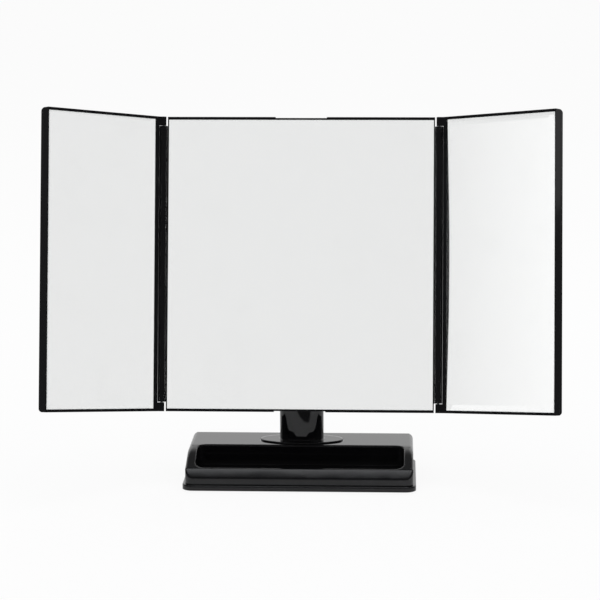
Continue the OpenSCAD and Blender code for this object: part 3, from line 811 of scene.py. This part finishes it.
def nut_rings(low, high, across_flats, bore):
    """Rings of a nut, up over its flats and down its bore. Its corners are cut by cones: the
    radius is the smaller of the hexagon's and 0.95 of its flats' plus twice the depth below
    the nearer face. The bore is chamfered."""
    heights = np.concatenate([np.linspace(low, low + 0.0005, 6),
                              np.linspace(high - 0.0005, high, 6)])
    depths = np.minimum(heights - low, high - heights)
    hexagon = hexagon_outline(across_flats)
    flats = [np.minimum(hexagon, 0.475 * across_flats + 2 * depth) for depth in depths]
    bevel = 0.1 * bore
    return turned_rings([bore + bevel, *flats, bore + bevel, bore, bore],
                        [low, *heights, high, high - bevel, low + bevel])


def slit_ring(inner, outer, low, high, slit):
    """Sections of a ring with a slanting slit, at even angles from one side of the slit to the
    other: each is a rectangle with cut corners, and its angle grows with its height."""
    cut = 0.1 * (high - low)
    radius = np.array([inner + cut, outer - cut, outer, outer, outer - cut, inner + cut, inner,
                       inner])
    height = np.array([low, low, low + cut, high - cut, high, high, high - cut, low + cut])
    gap = slit / inner
    angle = (np.linspace(gap / 2, 2 * np.pi - gap / 2, 97)[:, None]
             + (height - low) / (inner + outer))
    return np.stack([radius * np.cos(angle), radius * np.sin(angle),
                     np.broadcast_to(height, angle.shape)], -1)


def bolt_place():
    """From the pivot bolt's own frame, with Z along it to the viewer's right, to the world."""
    sizes = bpy.context.scene.mirror_sizes
    return (mirror_place() @ Matrix.Translation((0, sizes.pivot_back, sizes.pivot_up))
            @ Matrix.Rotation(math.radians(90), 4, "Y"))


def bracket_screws(sizes):
    """Four screws whose heads look to the back of the mirror, one in each corner of the bracket."""
    low, high = box_in(mirror_place(), "bracket_screws")
    under = high[1] - sizes.screw_head_height
    screw = loft_faces(screw_rings(sizes.screw_head_radius, sizes.screw_head_height,
                                   sizes.screw_radius, under - low[1]))
    low, high = low + sizes.screw_head_radius, high - sizes.screw_head_radius
    shifts = [(x, -z, 0) for x in (low[0], high[0]) for z in (low[2], high[2])]
    place = (mirror_place() @ Matrix.Translation((0, under, 0))
             @ Matrix.Rotation(math.radians(-90), 4, "X"))
    return make_piece("bracket_pan_screws", *copied(*screw, shifts), place)


def pivot_bolt(sizes):
    """The pivot bolt, its head at the viewer's left and threaded at the nut's end."""
    low, high = box_in(bolt_place(), "pivot_bolt")
    under = low[2] + sizes.bolt_head_height
    rings = screw_rings(high[0], sizes.bolt_head_height, sizes.bolt_radius, high[2] - under,
                        threaded=THREADED, pitch=sizes.thread_pitch, depth=sizes.thread_depth)
    place = (bolt_place() @ Matrix.Translation((0, 0, under))
             @ Matrix.Rotation(math.radians(180), 4, "X"))
    return closed_loft("pivot_pan_bolt", rings, place)


def pivot_nut(sizes):
    """The hexagonal nut on the pivot bolt."""
    low, high = box_in(bolt_place(), "pivot_nut")
    return closed_tube("pivot_hex_nut", nut_rings(low[2], high[2], high[1] - low[1],
                                                  sizes.bolt_radius + NUT_PLAY), bolt_place())


def spring_washer(sizes):
    """The slit washer under the nut."""
    low, high = box_in(bolt_place(), "spring_washer")
    return closed_loft("slit_spring_washer", slit_ring(sizes.bolt_radius + WASHER_PLAY, high[0],
                                                       low[2], high[2], sizes.washer_slit),
                       bolt_place())


class VANITY_OT_fasteners(bpy.types.Operator):
    """Bracket screws, pivot bolt, nut and spring washer"""

    bl_idname = "vanity.fasteners"
    bl_label = "Fasteners"

    def execute(self, context):
        for make in (bracket_screws, pivot_bolt, pivot_nut, spring_washer):
            piece = make(context.scene.mirror_sizes)
            put_finish(piece, zinc_plate())
            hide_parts(make.__name__)
            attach(piece, "mirror")
        return {"FINISHED"}


# ---- Stage ----


# Parts of a unit direction between which the room in the gloss changes: from front to behind,
# and from the low backdrop to the ceiling, which is CEILING times as bright as the front.
BEHIND, UPWARDS, CEILING = (0.25, 0.5), (0.44, 0.72), 1.9
# The window that the right-hand mirror looks at as it stands, and its added brightness.
WINDOW_Y, WINDOW_X, WINDOW_GAIN = (-0.312, -0.2965), (-0.85, -0.93), 0.185
# The floor is dark in the gloss ahead of AHEAD, in an edge that bows forward by BOW times x
# squared up to BOW_MOST, and beyond ASIDE at the sides.
FLOOR_SIZE, AHEAD, ASIDE, BOW, BOW_MOST = 30.0, (-0.096, -0.102), (0.25, 0.4), 370.0, 0.03
# Share of plain white in the floor, to the camera and in the mirrors.
CAMERA_WHITE, MIRROR_WHITE = 0.9, 0.6


def studio_world(settings):
    """White to the camera, an even soft light on surfaces, in the gloss a white backdrop low
    behind, dim above it and in front, and in the mirrors, whose rays pass their clear layer, an
    even pale room with a window to the left."""
    world = bpy.data.worlds.new("Studio")
    bpy.context.scene.world = world
    world.use_nodes = True
    tree = world.node_tree
    background = tree.nodes["Background"]
    direction = tree.nodes.new("ShaderNodeTexCoord").outputs["Generated"]
    parts = tree.nodes.new("ShaderNodeSeparateXYZ")
    tree.links.new(direction, parts.inputs[0])
    behind = spread(tree, parts.outputs["Y"], *BEHIND)
    low = spread(tree, parts.outputs["Z"], *UPWARDS, settings.backdrop, settings.dim * CEILING)
    gloss = math_node(tree, "MULTIPLY_ADD", behind,
                      math_node(tree, "SUBTRACT", low, settings.dim), settings.dim)
    window = math_node(tree, "MULTIPLY",
                       spread(tree, parts.outputs["Y"], *WINDOW_Y, smooth=False),
                       spread(tree, parts.outputs["X"], *WINDOW_X))
    mirrored = math_node(tree, "MULTIPLY_ADD", window, settings.mirror_room * WINDOW_GAIN,
                         settings.mirror_room)
    path = tree.nodes.new("ShaderNodeLightPath")
    strength = mix_floats(tree, path.outputs["Is Glossy Ray"], settings.room_light, gloss)
    strength = mix_floats(tree, path.outputs["Is Transmission Ray"], strength, mirrored)
    strength = mix_floats(tree, path.outputs["Is Camera Ray"], strength, 1.0)
    tree.links.new(strength, background.inputs["Strength"])
    background.inputs["Color"].default_value = (1, 1, 1, 1)


def studio_floor(settings):
    """A pale floor that keeps the object's shadow. In the gloss it is pale like a table top
    and dark beyond its front edge and its ends."""
    mesh = bpy.data.meshes.new("studio_floor")
    mesh.from_pydata([(x * FLOOR_SIZE, y * FLOOR_SIZE, 0)
                      for x, y in ((-1, -1), (1, -1), (1, 1), (-1, 1))], [], [(0, 1, 2, 3)])
    floor = bpy.data.objects.new("studio_floor", mesh)
    bpy.context.scene.collection.objects.link(floor)
    material, tree, shader = new_material("Studio floor")
    place = tree.nodes.new("ShaderNodeTexCoord").outputs["Object"]
    colour = bpy.context.scene.mirror_colours.floor
    tint = mix_colours(tree, noise(tree, place, 3.0), rgba(colour, 0.995), rgba(colour, 1.005))
    tree.links.new(tint, shader.inputs["Base Color"])
    shader.inputs["Roughness"].default_value = 0.9
    shader.inputs["Specular IOR Level"].default_value = 0.0
    path = tree.nodes.new("ShaderNodeLightPath")
    white = tree.nodes.new("ShaderNodeEmission")
    white.inputs["Strength"].default_value = 1.0
    dark = tree.nodes.new("ShaderNodeEmission")
    dark.inputs["Strength"].default_value = settings.dim
    parts = tree.nodes.new("ShaderNodeSeparateXYZ")
    tree.links.new(place, parts.inputs[0])
    x = parts.outputs["X"]
    squared = math_node(tree, "MULTIPLY", x, x)
    bowed = math_node(tree, "MINIMUM", math_node(tree, "MULTIPLY", squared, BOW), BOW_MOST)
    ahead = spread(tree, math_node(tree, "ADD", parts.outputs["Y"], bowed), *AHEAD)
    aside = spread(tree, math_node(tree, "ABSOLUTE", x), *ASIDE)
    unlit = math_node(tree, "MAXIMUM", ahead, aside)
    for_gloss = tree.nodes.new("ShaderNodeMixShader")
    through = path.outputs["Is Transmission Ray"]
    gloss_only = math_node(tree, "SUBTRACT", path.outputs["Is Glossy Ray"], through)
    tree.links.new(math_node(tree, "MULTIPLY", unlit, gloss_only), for_gloss.inputs[0])
    tree.links.new(shader.outputs[0], for_gloss.inputs[1])
    tree.links.new(dark.outputs[0], for_gloss.inputs[2])
    for_camera = tree.nodes.new("ShaderNodeMixShader")
    seen = math_node(tree, "MULTIPLY", path.outputs["Is Camera Ray"], CAMERA_WHITE)
    tree.links.new(math_node(tree, "MULTIPLY_ADD", through, MIRROR_WHITE, seen),
                   for_camera.inputs[0])
    tree.links.new(for_gloss.outputs[0], for_camera.inputs[1])
    tree.links.new(white.outputs[0], for_camera.inputs[2])
    output = next(node for node in tree.nodes if node.type == "OUTPUT_MATERIAL")
    tree.links.new(for_camera.outputs[0], output.inputs["Surface"])
    put_finish(floor, material)


def studio_softbox(settings):
    """One large softbox overhead."""
    light = bpy.data.lights.new("Softbox", "AREA")
    light.size = settings.softbox_size
    light.energy = settings.softbox_power
    light.color = (0.95, 0.97, 1.0)
    lamp = bpy.data.objects.new("Softbox", light)
    lamp.location = (0, 0.1, settings.softbox_height)
    bpy.context.scene.collection.objects.link(lamp)


def studio_camera(settings):
    """The camera looks along its azimuth and elevation at its target, and leans by its roll."""
    turn, down, roll = settings.azimuth, settings.elevation, settings.roll
    ahead = Vector((-math.sin(turn) * math.cos(down), math.cos(turn) * math.cos(down),
                    -math.sin(down)))
    right = Vector((math.cos(turn), math.sin(turn), 0))
    up = right.cross(ahead)
    across = right * math.cos(roll) + up * math.sin(roll)
    upright = up * math.cos(roll) - right * math.sin(roll)
    data = bpy.data.cameras.new("Camera")
    data.sensor_width = 36
    data.lens = settings.lens
    camera = bpy.data.objects.new("Camera", data)
    spot = Vector(settings.target) - ahead * settings.distance
    camera.matrix_world = Matrix.Translation(spot) @ Matrix(
        (across, upright, -ahead)).transposed().to_4x4()
    bpy.context.scene.collection.objects.link(camera)
    bpy.context.scene.camera = camera


class VANITY_OT_stage(bpy.types.Operator):
    """Floor, light and camera of the studio"""

    bl_idname = "vanity.stage"
    bl_label = "Studio"

    def execute(self, context):
        settings = context.scene.studio_settings
        studio_world(settings)
        studio_floor(settings)
        studio_softbox(settings)
        studio_camera(settings)
        context.scene.view_settings.view_transform = "Standard"
        return {"FINISHED"}


# ---- Finishes of the parts that stay as they are ----


class VANITY_OT_mouldings(bpy.types.Operator):
    """Gloss black on the frames, covers, base and post"""

    bl_idname = "vanity.mouldings"
    bl_label = "Black mouldings"

    def execute(self, context):
        finishes = {
            "frames": gloss_black("Frame black", 0.05, 0.05, 0.4, 0.0002),
            "covers": gloss_black("Cover black", 0.1, 0.06, 0.6, 0.0003),
            "stand": gloss_black("Base black", 0.035, 0.03, 0.5, 0.0015),
        }
        for group, nodes in BLACK_PARTS.items():
            for node in nodes:
                put_finish(frame["nodes"][node], finishes[group])
        return {"FINISHED"}


class VANITY_OT_small_parts(bpy.types.Operator):
    """Zinc, paint, foam, fibre and rubber on the small and hidden parts"""

    bl_idname = "vanity.small_parts"
    bl_label = "Small parts"

    def execute(self, context):
        colours = context.scene.mirror_colours
        for node in STEEL_PARTS:
            put_finish(frame["nodes"][node], zinc_plate())
        foam = grained("Foam", colours.foam, 1800.0, 0.0, 0.85, 1.0, 0.6, 0.0003)
        for node in FOAM_PARTS:
            put_finish(frame["nodes"][node], foam)
        put_finish(frame["nodes"]["tilt_bracket"],
                   grained("Bracket paint", colours.paint, 900.0, 0.0, 0.32, 0.45, 0.25, 0.0001,
                           0.0003))
        put_finish(frame["nodes"]["friction_washers"],
                   grained("Pressed fibre", colours.fibre, 1200.0, 0.0, 0.7, 0.85, 0.4, 0.0001))
        put_finish(frame["nodes"]["anti_slip_pad"],
                   grained("Pad rubber", colours.rubber, 1400.0, 0.0, 0.75, 0.95, 0.7, 0.0002))
        return {"FINISHED"}


class VIEW3D_PT_vanity_mirror(bpy.types.Panel):
    """Lists the steps that make the mirror"""

    bl_label = "Vanity mirror"
    bl_space_type = "VIEW_3D"
    bl_region_type = "UI"
    bl_category = "Vanity mirror"

    def draw(self, context):
        for operator in OPERATORS:
            self.layout.operator(operator.bl_idname)


OPERATORS = [VANITY_OT_mouldings, VANITY_OT_small_parts, VANITY_OT_glass, VANITY_OT_base,
             VANITY_OT_fasteners, VANITY_OT_stage]
GROUPS = {"mirror_sizes": MirrorSizes, "mirror_colours": MirrorColours,
          "studio_settings": StudioSettings}


def register():
    for kind in [*GROUPS.values(), *OPERATORS, VIEW3D_PT_vanity_mirror]:
        bpy.utils.register_class(kind)
    for label, group in GROUPS.items():
        setattr(bpy.types.Scene, label, PointerProperty(type=group))


def unregister():
    for label in GROUPS:
        delattr(bpy.types.Scene, label)
    for kind in reversed([*GROUPS.values(), *OPERATORS, VIEW3D_PT_vanity_mirror]):
        bpy.utils.unregister_class(kind)


def main():
    register()
    bpy.ops.vanity.mouldings()
    bpy.ops.vanity.small_parts()
    bpy.ops.vanity.glass()
    bpy.ops.vanity.base()
    bpy.ops.vanity.fasteners()
    bpy.ops.vanity.stage()


if __name__ == "__main__":
    main()
